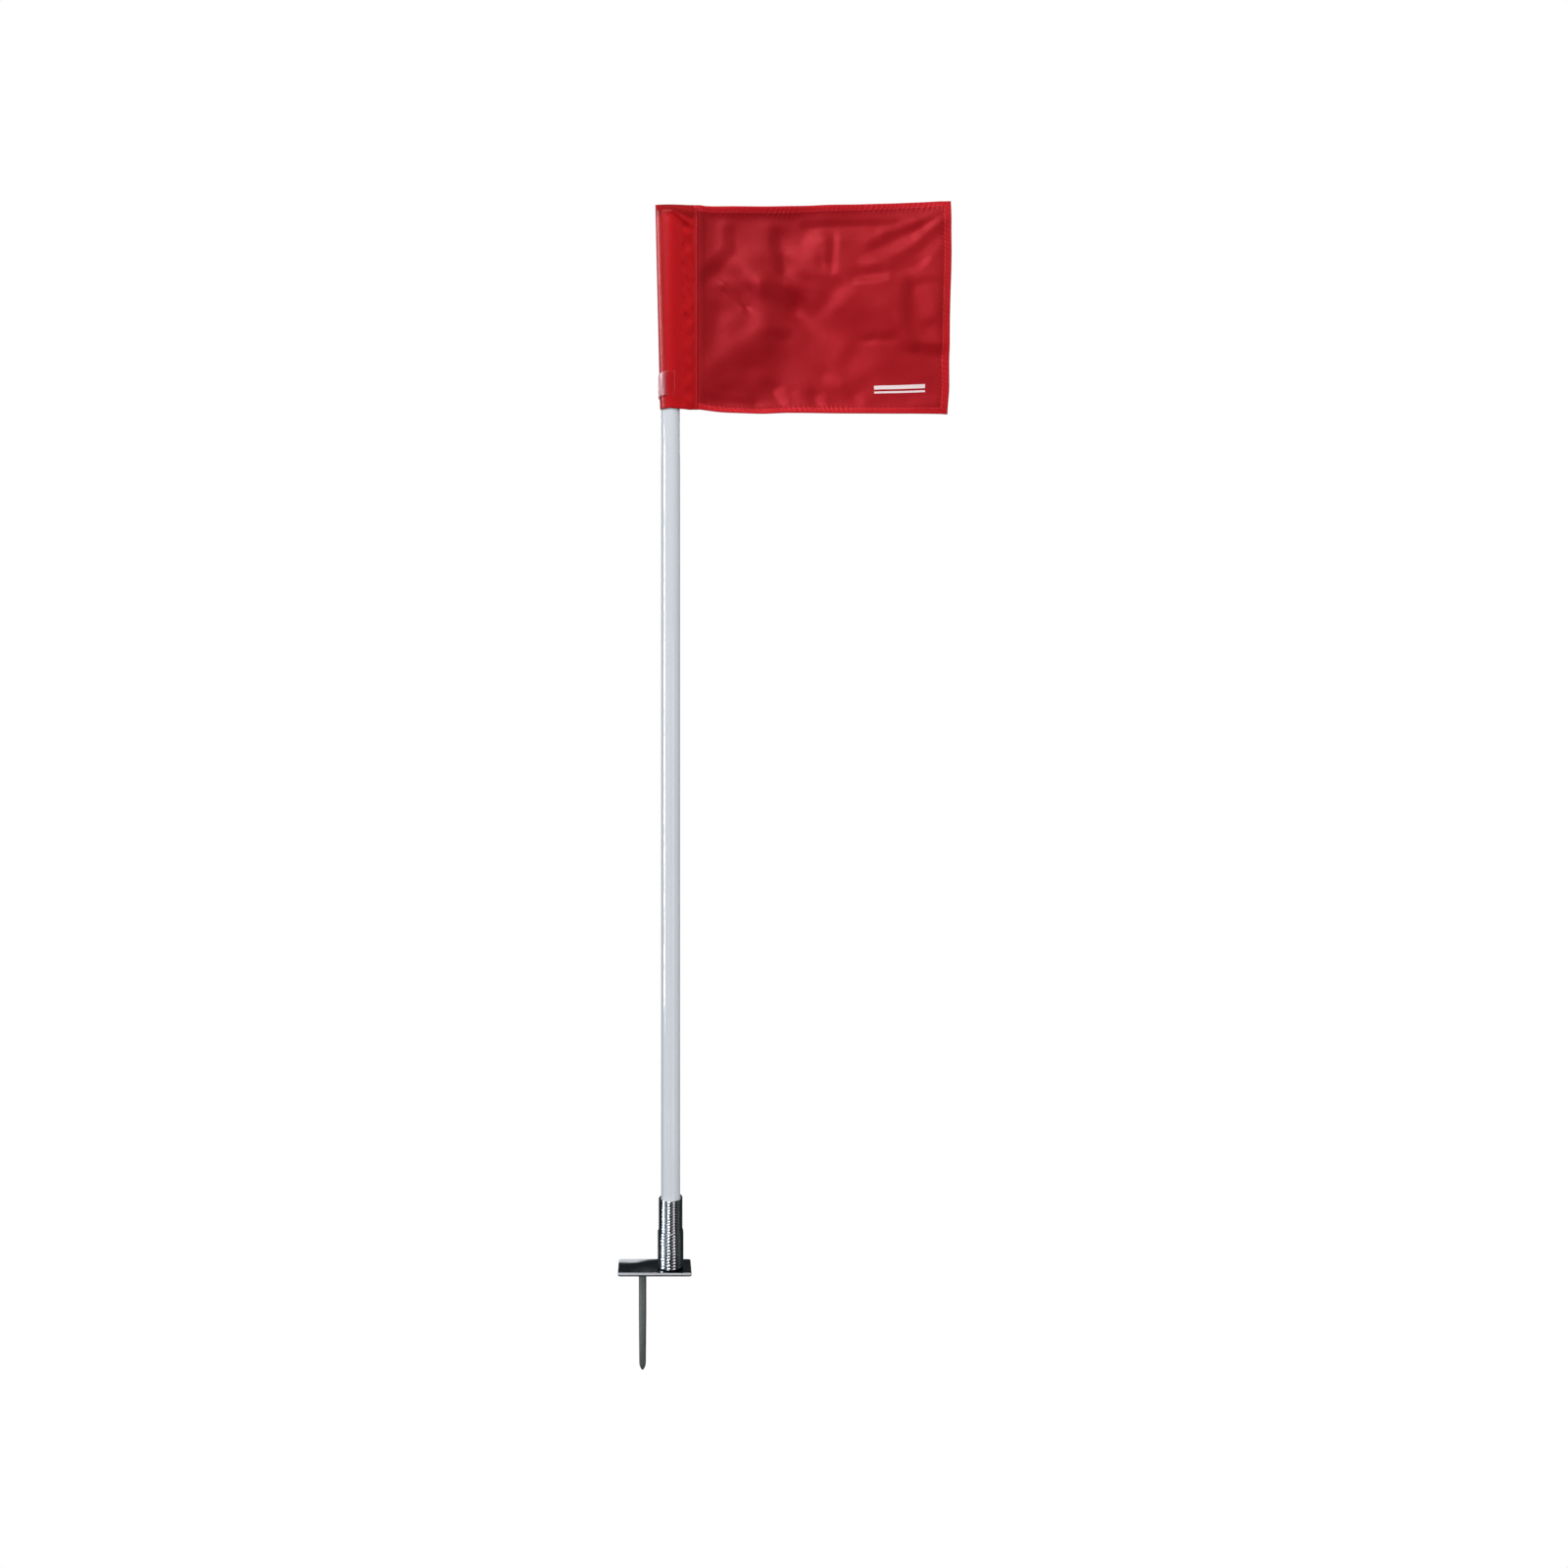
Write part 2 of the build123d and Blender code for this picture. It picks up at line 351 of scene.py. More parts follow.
def plated_steel():
    """Dark bright plating over rolled bar: faint rolling lines, dull spots, a painted highlight line along
    the upper part of the front face, which is itself painted near black as a dark reflection, and a painted
    bright reflection along the rear edge that narrows towards the spring."""
    f = Finish("plated_steel")
    spots = f.noise(90, 4, 0.6)
    rolling = f.noise(700, 2, 0.5, f.stretched((0.04, 1, 1)))
    facing = f.split(f.node("ShaderNodeTexCoord").outputs["Normal"])
    x, y, z = f.split(f.place)
    # Painted highlight: a light band along the upper part of the front face.
    band_low = f.ramp(z, 1.7 * MM, 2.4 * MM, 0.0, 1.0)
    band = f.math("MULTIPLY", band_low, f.ramp(z, 4.3 * MM, 4.8 * MM, 1.0, 0.0))
    front = f.ramp(facing["Y"], -0.8, -0.5, 1.0, 0.0)
    painted_edge_highlight = f.math("MULTIPLY", front, band)
    # Painted reflection: a bright band on the top face along the rear edge, narrowing towards the spring.
    start = f.ramp(x, -12 * MM, 20 * MM, 8.5 * MM, 16.5 * MM)
    start = f.math("ADD", start, f.ramp(f.noise(60, 4, 0.6), 0.3, 0.7, -1.5 * MM, 1.5 * MM))
    painted_rear_reflection = f.ramp(f.math("SUBTRACT", y, start), -3.2 * MM, 3.2 * MM, 0.0, 1.0)
    painted_rear_reflection = f.math("MULTIPLY", painted_rear_reflection, f.ramp(x, -8 * MM, 26 * MM, 1.0, 0.0))
    painted_rear_reflection = f.math("MULTIPLY", painted_rear_reflection, f.ramp(facing["Z"], 0.3, 0.6, 0.0, 1.0))
    # Where the highlight and the reflection are painted, the plating is lighter, rougher and less metallic.
    painted_highlights = f.math("MAXIMUM", painted_edge_highlight, painted_rear_reflection)
    polished = f.mix(spots, (0.22, 0.235, 0.25), (0.34, 0.35, 0.36))
    # Painted dark reflection: the front face is painted near black.
    polished = f.mix(front, polished, (0.05, 0.055, 0.06))
    f.feed("Base Color", f.mix(painted_highlights, polished, (0.52, 0.535, 0.56)))
    gloss = f.math("ADD", f.ramp(f.noise(35, 4, 0.6), 0.35, 0.75, 0.07, 0.18), f.math("MULTIPLY", front, 0.3))
    f.feed("Roughness", f.math("MAXIMUM", gloss, f.math("MULTIPLY", painted_highlights, 0.6)))
    f.feed("Metallic", f.ramp(painted_highlights, 0.0, 1.0, 1.0, 0.2))
    f.feed("Normal", f.bump(rolling, 0.00002, 0.5))
    return f.material


def spike_steel():
    """Dull zinc-grey bar, mottled, with drawing lines along it."""
    f = Finish("spike_steel", metallic=0.45)
    mottle = f.noise(260, 5, 0.65)
    lines = f.noise(900, 2, 0.5, f.stretched((1, 1, 0.03)))
    f.feed("Base Color", f.mix(mottle, (0.09, 0.105, 0.098), (0.16, 0.18, 0.168)))
    f.feed("Roughness", f.ramp(mottle, 0.3, 0.7, 0.42, 0.62))
    f.feed("Normal", f.bump(lines, 0.00004, 0.6))
    return f.material


def spring_chrome():
    """Bright plating on drawn wire, a little uneven from coil to coil."""
    f = Finish("spring_chrome", metallic=1.0)
    cloud = f.noise(120, 3, 0.5)
    f.feed("Base Color", f.mix(cloud, (0.42, 0.45, 0.47), (0.6, 0.62, 0.63)))
    f.feed("Roughness", f.ramp(f.noise(300, 4, 0.6), 0.3, 0.7, 0.08, 0.15))
    f.feed("Normal", f.bump(f.noise(1500, 2, 0.5), 0.00002, 0.4))
    return f.material


def white_pvc():
    """Extruded white tube: cool white, faint draw lines, slight clouding and handling marks."""
    f = Finish("white_pvc", specular_ior_level=0.75)
    cloud = f.noise(9, 3, 0.5, f.stretched((1, 1, 0.3)))
    marks = f.noise(160, 5, 0.65, f.stretched((1, 1, 0.35)))
    tone = f.mix(cloud, (0.65, 0.685, 0.73), (0.72, 0.75, 0.79))
    f.feed("Base Color", f.mix(f.ramp(marks, 0.62, 0.8, 0.0, 0.25), tone, (0.58, 0.6, 0.62)))
    f.feed("Roughness", f.ramp(marks, 0.3, 0.8, 0.1, 0.15))
    lines = f.noise(1300, 2, 0.5, f.stretched((1, 1, 0.01)))
    f.feed("Normal", f.bump(lines, 0.00002, 0.12))
    return f.material


def moulded_plastic():
    """Off-white moulding of the cap and the plug, with a fine grain."""
    f = Finish("moulded_plastic")
    grain = f.noise(1800, 3, 0.6)
    f.feed("Base Color", f.mix(f.noise(60, 3, 0.5), (0.62, 0.63, 0.65), (0.7, 0.71, 0.73)))
    f.feed("Roughness", f.ramp(grain, 0.3, 0.7, 0.4, 0.55))
    f.feed("Normal", f.bump(grain, 0.00004, 0.5))
    return f.material


def weave(f, threads_per_metre=3200):
    """Height of a plain weave: warp and weft crossing, with small unevenness."""
    radians_per_scale = 20.0
    across = f.node("ShaderNodeTexWave", wave_type="BANDS", bands_direction="X")
    upright = f.node("ShaderNodeTexWave", wave_type="BANDS", bands_direction="Z")
    for wave in (across, upright):
        f.put(wave.inputs["Scale"], threads_per_metre * math.tau / radians_per_scale)
        f.put(wave.inputs["Distortion"], 0.4)
        f.put(wave.inputs["Detail"], 1.0)
        f.put(wave.inputs["Vector"], f.place)
    return f.math("ADD", across.outputs["Fac"], upright.outputs["Fac"])


def red_cloth(name, gloss, roughness, tint, print_box=None):
    """Thin glossy polyester. The layers value, 0 to 1, makes it brighter: in the folded hems it is how far
    folds make it denser, and it also carries painted light and shade on the panel and on the sleeve.
    """
    f = Finish(name, specular_ior_level=gloss, sheen_weight=0.05, sheen_roughness=0.35)
    f.feed("Specular Tint", tint)
    f.feed("Sheen Tint", (1.0, 0.4, 0.45))
    tone = f.noise(14, 3, 0.55)
    single = f.mix(tone, (0.275, 0.0042, 0.0056), (0.305, 0.0047, 0.0063))
    double = f.mix(tone, (0.49, 0.0080, 0.0108), (0.53, 0.0088, 0.0118))
    colour = f.mix(f.attribute("layers"), single, double)
    if print_box:
        colour = f.mix(printed(f, *print_box), colour, (0.78, 0.76, 0.76))
    f.feed("Base Color", colour)
    f.feed("Roughness", f.ramp(f.noise(40, 3, 0.5), 0.3, 0.7, roughness - 0.05, roughness + 0.05))
    fine = f.bump(weave(f), 0.00006, 0.3)
    f.feed("Normal", f.bump(f.noise(330, 3, 0.55), 0.00012, 0.3, after=fine))
    return f.material


def printed(f, centre_x, centre_z, half_w, bars):
    """1 inside plain printed bars on the front face, each (offset in z, half height)."""
    x, _, z = f.split(f.place)
    inside_x = f.math("LESS_THAN", f.math("ABSOLUTE", f.math("SUBTRACT", x, centre_x)), half_w)
    total = None
    for offset, half_h in bars:
        away = f.math("ABSOLUTE", f.math("SUBTRACT", z, centre_z + offset))
        bar = f.math("MULTIPLY", inside_x, f.math("LESS_THAN", away, half_h))
        total = bar if total is None else f.math("MAXIMUM", total, bar)
    return f.math("MULTIPLY", total, f.attribute("front"))


def red_thread():
    """Matt twisted sewing thread, a little brighter than the cloth."""
    f = Finish("red_thread", sheen_weight=0.2)
    twist = f.noise(3000, 2, 0.5)
    f.feed("Base Color", f.mix(twist, (0.42, 0.014, 0.02), (0.62, 0.03, 0.04)))
    f.feed("Roughness", f.ramp(twist, 0.3, 0.7, 0.4, 0.6))
    f.feed("Normal", f.bump(twist, 0.0001, 0.5))
    return f.material


def clear_plastic():
    """Clear thin moulded clip, glassier and milkier towards its outline, with faint flow marks; its milky
    pink colour, made more opaque on its left side, is a painted highlight.
    """
    f = Finish("clear_plastic", base_color=(0.95, 0.56, 0.64), specular_ior_level=0.25)
    glancing = f.node("ShaderNodeLayerWeight")
    f.put(glancing.inputs["Blend"], 0.5)
    # Painted highlight: the milky pink colour is made more opaque on the clip's left side.
    painted_highlight_side = f.ramp(f.split(f.place)["X"], POLE_X - 11 * MM, POLE_X - 3 * MM, 1.0, 0.3)
    glassy = f.ramp(glancing.outputs["Facing"], 0.1, 0.4, 0.015, 0.54)
    f.feed("Alpha", f.math("MULTIPLY", glassy, painted_highlight_side))
    f.feed("Roughness", f.ramp(f.noise(200, 3, 0.5), 0.3, 0.7, 0.22, 0.3))
    f.feed("Normal", f.bump(f.noise(400, 2, 0.5), 0.00004, 0.3))
    return f.material


PLATED = plated_steel()
SPIKE_STEEL = spike_steel()
CHROME = spring_chrome()
PVC = white_pvc()
MOULDED = moulded_plastic()
THREAD = red_thread()
CLEAR = clear_plastic()
PRINT_BARS = [(3.2 * MM, 2.6 * MM), (-3.4 * MM, 1.3 * MM)]
PRINT_BOX = (POLE_X + 303 * MM, 1164 * MM, 33 * MM, PRINT_BARS)
PANEL_CLOTH = red_cloth("red_panel_cloth", 1.0, 0.52, (1.0, 0.045, 0.085), PRINT_BOX)
SLEEVE_CLOTH = red_cloth("red_sleeve_cloth", 0.16, 0.32, (1.0, 0.075, 0.12))


# ---------------------------------------------------------------- metal and plastic pieces

def paint(node, material):
    """Gives a CAD node its material."""
    mesh = frame["nodes"][node].data
    mesh.materials.clear()
    mesh.materials.append(material)


def foot_plate():
    """Flat bar with round corners and soft edges."""
    corner, edge = 3 * MM, 0.8 * MM
    points, outward = round_corners(PLATE_LOW.x, PLATE_HIGH.x, PLATE_LOW.y, PLATE_HIGH.y, corner, 8)
    points, outward = np.array(points), np.array(outward)
    turn = np.radians(np.linspace(0, 90, 9))
    rings = []
    for level, inward in ((PLATE_LOW.z, -1), (PLATE_HIGH.z, 1)):
        for a in turn if inward > 0 else turn[::-1]:
            ring = points - outward * edge * (1 - math.cos(a))
            z = level - inward * edge * (1 - math.sin(a))
            rings.append(np.column_stack([ring, np.full(len(ring), z)]))
    faces = skin_faces(len(rings), len(points))
    plate = mesh_object("plated_foot", np.vstack(rings), faces, PLATED)
    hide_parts("foot_plate")
    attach(plate, "base")


def ground_spike():
    """Round bar that tapers to a blunt bullet tip."""
    top, bottom = PLATE_LOW.z + 1 * MM, SPIKE_LOW.z
    radius, tip_r, nose_r, end_r = 5 * MM, 4.4 * MM, 16 * MM, 1.0 * MM
    taper_start, taper_end = -60 * MM, -122 * MM
    profile = [(0, top), (radius - 0.3 * MM, top), (radius, top - 0.3 * MM)]
    profile += [(radius, z) for z in np.linspace(top - 2 * MM, taper_start, 12)]
    for share in np.linspace(0.1, 1, 8):
        profile.append((radius + (tip_r - radius) * share, taper_start + (taper_end - taper_start) * share))
    nose = taper_end - bottom
    full_sag = nose_r - math.sqrt(nose_r ** 2 - nose ** 2)
    for share in np.linspace(0.08, 1, 12):
        depth = share * nose
        sag = nose_r - math.sqrt(nose_r ** 2 - depth ** 2)
        profile.append((tip_r - sag * (tip_r - end_r) / full_sag, taper_end - depth))
    profile.append((0, bottom))
    spike = lathe("spike_bar", profile, SPIKE_STEEL, 0.0, 64)
    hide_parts("ground_spike")
    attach(spike, "base")


def spring_line():
    """Points along the wire's centreline, from its foot up, about 64 to a turn."""
    middle_r = (COIL_R_LOWER + COIL_R_UPPER) / 2
    per_turn = 64
    stretches = [
        (LOWER_TURNS, COIL_R_LOWER, 0.0),
        (0.5, middle_r, middle_r - COIL_R_LOWER),
        (UPPER_TURNS, COIL_R_UPPER, 0.0),
    ]
    z, turned, line = PLATE_HIGH.z + WIRE_R, 0.0, []
    for turns, radius, offset in stretches:
        steps = int(round(turns * per_turn))
        for i in range(steps):
            share = turns * i / steps
            a = math.tau * (turned + share)
            rise = share * PITCH_PER_COIL_R * radius
            line.append((offset + radius * math.cos(a), radius * math.sin(a), z + rise))
        z += turns * PITCH_PER_COIL_R * radius
        turned += turns
    start = math.radians(SPRING_START_DEG)
    line = np.array(line)
    x = line[:, 0] * math.cos(start) - line[:, 1] * math.sin(start) + POLE_X
    y = line[:, 0] * math.sin(start) + line[:, 1] * math.cos(start)
    return np.column_stack([x, y, line[:, 2]])


def base_spring():
    """The coil in two pieces that meet inside the wire, cut at the spring's middle."""
    line = spring_line()
    cut = int(np.searchsorted(line[:, 2], SPRING_MIDDLE))
    zones = [
        ("spring_lower_coils", line[: cut + 1], "base", "spring", SPRING_FREE_LOW, SPRING_MIDDLE),
        ("spring_upper_coils", line[cut:], "spring", "pole", SPRING_MIDDLE, SPRING_FREE_HIGH),
    ]
    for name, points, below, above, low, high in zones:
        verts, faces = tube_mesh(points, WIRE_R, 16)
        coils = mesh_object(name, verts, faces, CHROME)
        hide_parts("base_spring")
        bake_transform(coils)


def pole_tube():
    """Wall of the tube, with rounded ends and even rows of points up its outside."""
    steps = 4
    outline, _ = round_corners(POLE_BORE_R, POLE_R, TUBE_LOW.z, TUBE_HIGH.z, 0.5 * MM, steps)
    side_low, side_high = outline[steps][1], outline[steps + 1][1]
    rows = [(POLE_R, z) for z in np.linspace(side_low, side_high, 60)[1:-1]]
    outline = outline[: steps + 1] + rows + outline[steps + 1:] + outline[:1]
    tube = lathe("white_tube", outline, PVC, POLE_X, 128)
    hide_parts("pole_tube")
    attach(tube, "pole")


def flag_clip():
    """C-shaped clip with rounded edges and lips that flare out at its mouth."""
    wall, edge = 2.2 * MM, 0.7 * MM
    lip_flare, lip_turn, mouth = 0.9 * MM, math.radians(16), 72
    inner = (CLIP_HIGH.y - CLIP_LOW.y) / 2 - wall
    section, _ = round_corners(inner, inner + wall, CLIP_LOW.z, CLIP_HIGH.z, edge, 5)
    angles = np.radians(np.linspace(mouth, 360 - mouth, 90))
    verts = []
    for a in angles:
        to_lip = min(a - angles[0], angles[-1] - a)
        flare = lip_flare * (1 - smooth(0, lip_turn, to_lip))
        for radius, z in section:
            r = radius + flare
            verts.append((POLE_X + r * math.cos(a), r * math.sin(a), z))
    faces = skin_faces(len(angles), len(section))
    clip = mesh_object("clear_clip", verts, faces, CLEAR)
    bevel = clip.modifiers.new("soft_lips", "BEVEL")
    bevel.width = 0.5 * MM
    bevel.segments = 3
    bevel.limit_method = "ANGLE"
    bevel.angle_limit = math.radians(60)
    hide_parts("flag_clip")
    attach(clip, "clip")


# ---------------------------------------------------------------- flag

# The panel's facets, from its folds and creases: how much each one tilts towards the upper left, its half
# width in mm, and the points it runs through, as shares from seam to fly and from bottom to top.
PANEL_FACETS = [
    # hanging valley below the hoist's upper corner, and the slack beside the seam
    (-0.30, 20, [(0.00, 0.97), (0.05, 0.86)]),
    (-0.30, 9, [(0.135, 0.89), (0.135, 0.80), (0.06, 0.70), (0.01, 0.64)]),
    (-0.16, 18, [(0.03, 0.80), (0.07, 0.58), (0.04, 0.35)]),
    (-0.16, 9, [(0.075, 0.52), (0.04, 0.34)]),
    (-0.10, 22, [(0.18, 0.80), (0.19, 0.70), (0.17, 0.45)]),
    (0.06, 8, [(0.235, 0.58), (0.235, 0.43)]),
    (0.03, 12, [(0.22, 0.43), (0.12, 0.36), (0.05, 0.25)]),
    (-0.10, 14, [(0.24, 0.70), (0.25, 0.80)]),
    (0.20, 11, [(0.215, 0.575), (0.225, 0.545)]),
    (-0.10, 10, [(0.235, 0.67), (0.25, 0.63)]),
    (-0.40, 2.6, [(0.12, 0.625), (0.20, 0.53)]),
    (0.22, 3.0, [(0.12, 0.59), (0.185, 0.515)]),
    # deep vertical valley and the wide facet right of it
    (-0.26, 8, [(0.315, 0.89), (0.315, 0.80), (0.335, 0.70)]),
    (0.14, 11, [(0.28, 0.95), (0.50, 0.95)]),
    (-0.16, 6, [(0.335, 0.77), (0.335, 0.71)]),
    (0.22, 19, [(0.385, 0.84), (0.45, 0.82)]),
    (0.20, 11, [(0.38, 0.78), (0.40, 0.725)]),
    (0.22, 13, [(0.47, 0.85), (0.45, 0.78)]),
    # hollow under the crest
    (-0.60, 16, [(0.305, 0.60), (0.375, 0.565)]),
    (-0.20, 12, [(0.33, 0.55), (0.37, 0.54)]),
    (-0.16, 9, [(0.285, 0.66), (0.275, 0.60)]),
    (0.16, 5, [(0.35, 0.665), (0.36, 0.64)]),
    (0.14, 7, [(0.455, 0.635), (0.47, 0.63)]),
    (0.12, 10, [(0.46, 0.70), (0.55, 0.69)]),
    (-0.24, 8, [(0.30, 0.40), (0.36, 0.395)]),
    (-0.15, 16, [(0.33, 0.48), (0.42, 0.46)]),
    # slack in the lower corner at the hoist
    (-0.26, 22, [(0.27, 0.33), (0.15, 0.20), (0.06, 0.12)]),
    (-0.14, 18, [(0.33, 0.32), (0.30, 0.18)]),
    (-0.26, 9, [(0.03, 0.065), (0.22, 0.055)]),
    (-0.12, 14, [(0.24, 0.09), (0.28, 0.12)]),
    (-0.16, 14, [(0.12, 0.10), (0.26, 0.15)]),
    # band under the top hem and the pull from the fly's upper corner
    (-0.24, 5.5, [(0.43, 0.925), (0.58, 0.92), (0.78, 0.915)]),
    (0.15, 10, [(0.50, 0.875), (0.62, 0.865), (0.72, 0.865)]),
    (0.20, 5, [(0.72, 0.875), (0.84, 0.905), (0.96, 0.955)]),
    (-0.26, 8, [(0.695, 0.80), (0.77, 0.855), (0.87, 0.895)]),
    (-0.20, 5, [(0.87, 0.895), (0.975, 0.955)]),
    (0.28, 9, [(0.655, 0.72), (0.76, 0.775), (0.86, 0.835)]),
    (0.28, 5, [(0.86, 0.835), (0.975, 0.93)]),
    (-0.16, 8, [(0.78, 0.725), (0.88, 0.795), (0.97, 0.89)]),
    (0.16, 9, [(0.89, 0.745), (0.95, 0.80)]),
    (0.24, 5, [(0.80, 0.66), (0.87, 0.68), (0.91, 0.72)]),
    (-0.12, 6, [(0.64, 0.70), (0.77, 0.685)]),
    (0.40, 6, [(0.635, 0.633), (0.745, 0.64)]),
    # short upright tucks
    (0.16, 4.5, [(0.505, 0.79), (0.507, 0.69)]),
    (-0.16, 5, [(0.53, 0.84), (0.525, 0.74)]),
    (0.24, 4.5, [(0.56, 0.86), (0.55, 0.68)]),
    # middle
    (-0.10, 9, [(0.50, 0.67), (0.535, 0.61), (0.50, 0.55)]),
    (0.20, 11, [(0.56, 0.545), (0.60, 0.585)]),
    (0.12, 8, [(0.51, 0.49), (0.54, 0.52)]),
    (-0.16, 5, [(0.68, 0.37), (0.70, 0.375)]),
    (-0.18, 6, [(0.74, 0.37), (0.775, 0.37)]),
    (0.09, 5, [(0.66, 0.345), (0.80, 0.345)]),
    (0.10, 13, [(0.70, 0.31), (0.64, 0.22)]),
    (-0.10, 10, [(0.60, 0.30), (0.58, 0.22)]),
    # valley that runs down beside the fly hem and turns along its foot
    (-0.34, 9, [(0.83, 0.60), (0.83, 0.42), (0.865, 0.32)]),
    (-0.34, 8, [(0.87, 0.31), (0.96, 0.30)]),
    (0.20, 10, [(0.885, 0.58), (0.915, 0.47)]),
    (0.24, 8, [(0.93, 0.39), (0.955, 0.345)]),
    (-0.16, 6, [(0.89, 0.625), (0.96, 0.62)]),
    (-0.20, 3.5, [(0.965, 0.60), (0.965, 0.40)]),
    (-0.12, 12, [(0.905, 0.25), (0.91, 0.20)]),
    # small swells along the bottom hem
    (0.34, 7, [(0.335, 0.12), (0.36, 0.07)]),
    (0.20, 7, [(0.40, 0.10), (0.405, 0.06)]),
    (-0.20, 7, [(0.46, 0.10), (0.465, 0.06)]),
    (0.20, 7, [(0.50, 0.08), (0.505, 0.05)]),
    (0.26, 9, [(0.53, 0.175), (0.56, 0.155)]),
    (-0.10, 10, [(0.66, 0.145), (0.61, 0.12)]),
    (0.24, 8, [(0.65, 0.08), (0.66, 0.06)]),
    (0.16, 9, [(0.86, 0.05), (0.94, 0.07)]),
    (0.10, 8, [(0.26, 0.05), (0.27, 0.03)]),
]
TILT_SCALE = 1.25
GRID_STEP = 1.5 * MM
GRID_MARGIN = 60 * MM


def facet_relief():
    """Relief on an even grid whose tilt towards the upper left follows PANEL_FACETS, with no sharp steps."""
    xs = np.arange(-GRID_MARGIN, PANEL_W + GRID_MARGIN, GRID_STEP)
    zs = np.arange(-GRID_MARGIN, PANEL_H + GRID_MARGIN, GRID_STEP)
    x, z = np.meshgrid(xs, zs)
    tilt = 0.05 * ripple(x, z, 30 * MM, 8) + 0.03 * ripple(x, z, 13 * MM, 9) - 0.17
    tilt += 0.32 * smooth(0, 0.9, x / PANEL_W)
    tilt += 0.08 * smooth(0.38, 0.5, x / PANEL_W) * smooth(0.45, 0.6, z / PANEL_H)
    for amount, half_width, points in PANEL_FACETS:
        away, _ = nearest_on(x, z, [(a * PANEL_W, b * PANEL_H) for a, b in points])
        tilt += amount * np.exp(-(away / (half_width * MM)) ** 3)
    tilt = np.where(tilt > 0, 0.85 * tilt, tilt)
    inside = smooth(-GRID_MARGIN, 0, x) * smooth(-GRID_MARGIN, 0, z)
    inside *= 1 - smooth(PANEL_W, PANEL_W + GRID_MARGIN, x)
    inside *= 1 - smooth(PANEL_H, PANEL_H + GRID_MARGIN, z)
    tilt = tilt * inside
    kx = np.fft.fftfreq(len(xs), GRID_STEP)[None, :] * math.tau
    kz = np.fft.fftfreq(len(zs), GRID_STEP)[:, None] * math.tau
    along = 0.8 * kx - 0.6 * kz
    weight = along ** 2 + 0.10 * (kx ** 2 + kz ** 2) + (math.tau / (600 * MM)) ** 2
    relief = np.fft.ifft2(np.fft.fft2(tilt) * (-1j * along) / weight).real
    return TILT_SCALE * relief


FACET_RELIEF = facet_relief()


def sampled(grid, x, z):
    """Value of the grid at each place, between its points."""
    column = np.clip((x + GRID_MARGIN) / GRID_STEP, 0, grid.shape[1] - 1.001)
    row = np.clip((z + GRID_MARGIN) / GRID_STEP, 0, grid.shape[0] - 1.001)
    i, j = row.astype(int), column.astype(int)
    a, b = row - i, column - j
    low = grid[i, j] * (1 - b) + grid[i, j + 1] * b
    high = grid[i + 1, j] * (1 - b) + grid[i + 1, j + 1] * b
    return low * (1 - a) + high * a


def seam_to_fly(x):
    """Share of the way from the seam to the fly at x."""
    return (x - SEAM_X) / PANEL_W


def edge_z(x, hoist, fly):
    """Height of the flag's top or bottom edge at x, between its heights at the hoist and at the fly."""
    return hoist + (fly - hoist) * (x - PANEL_START_X) / (FLY_X - PANEL_START_X)


def bottom_z(x):
    """Bottom edge, which sags a little between its stitches."""
    share = seam_to_fly(x)
    sag = fold(share, np.zeros_like(share), [(0.0, 0.0), (0.19, 0.0), (0.38, 0.0)], 0.2, -1.8 * MM)
    return edge_z(x, HOIST_BOTTOM, FLY_BOTTOM) + sag


def top_z(x):
    """Top edge, which is straight."""
    return edge_z(x, HOIST_TOP, FLY_TOP)


def fly_slant(x, z):
    """How far the cloth is drawn towards the fly at each place: its free edge leans out at the top."""
    v = (z - bottom_z(x)) / (top_z(x) - bottom_z(x))
    lean = -1.5 + 2.4 * smooth(0, 0.14, v) + 2.1 * smooth(0.45, 0.78, v)
    return lean * MM * np.clip(seam_to_fly(x), 0, 1)


def puckers(x, z):
    """Small gathers along the three hems, where the thread pulls the cloth in."""
    from_fly = FLY_X - x
    from_bottom = z - bottom_z(x)
    from_top = top_z(x) - z
    patchy = 0.35 + 0.65 * smooth(-0.3, 0.7, ripple(x, z, 60 * MM, 5))
    rows = [
        (from_fly, FLY_HEM, z + 0.5 * x, 1.0),
        (from_bottom, EDGE_HEM, x + 0.35 * z, 0.8),
        (from_top, EDGE_HEM, x - 0.35 * z, 0.8),
    ]
    jitter = 1.4 * ripple(x, z, 18 * MM, 11)
    total = np.zeros_like(x)
    for inward, hem, along, strength in rows:
        near = np.exp(-((inward - hem * 0.75) / (hem * 0.6)) ** 2)
        total += strength * near * np.sin(math.tau * along / (6.2 * MM) + jitter)
    return 0.5 * MM * patchy * total


def panel_relief(x, z):
    """How far the middle of the panel's cloth stands towards the viewer."""
    low, high = bottom_z(x), top_z(x)
    u = seam_to_fly(x)
    v = (z - low) / (high - low)
    total = sampled(FACET_RELIEF, u * PANEL_W, v * PANEL_H)
    total -= sampled(FACET_RELIEF, 0 * u, v * PANEL_H) * np.exp(-(u * PANEL_W / (75 * MM)) ** 2)
    held = smooth(-2 * MM, 12 * MM, x - SEAM_EDGE_X)
    hem = 1 - 0.55 * np.exp(-(np.minimum(v, 1 - v) * PANEL_H / (10 * MM)) ** 2)
    hem *= 1 - 0.45 * np.exp(-(((FLY_X - x) / (10 * MM)) ** 2))
    return total * held * hem + puckers(x, z) * smooth(0, 12 * MM, x - SEAM_EDGE_X)


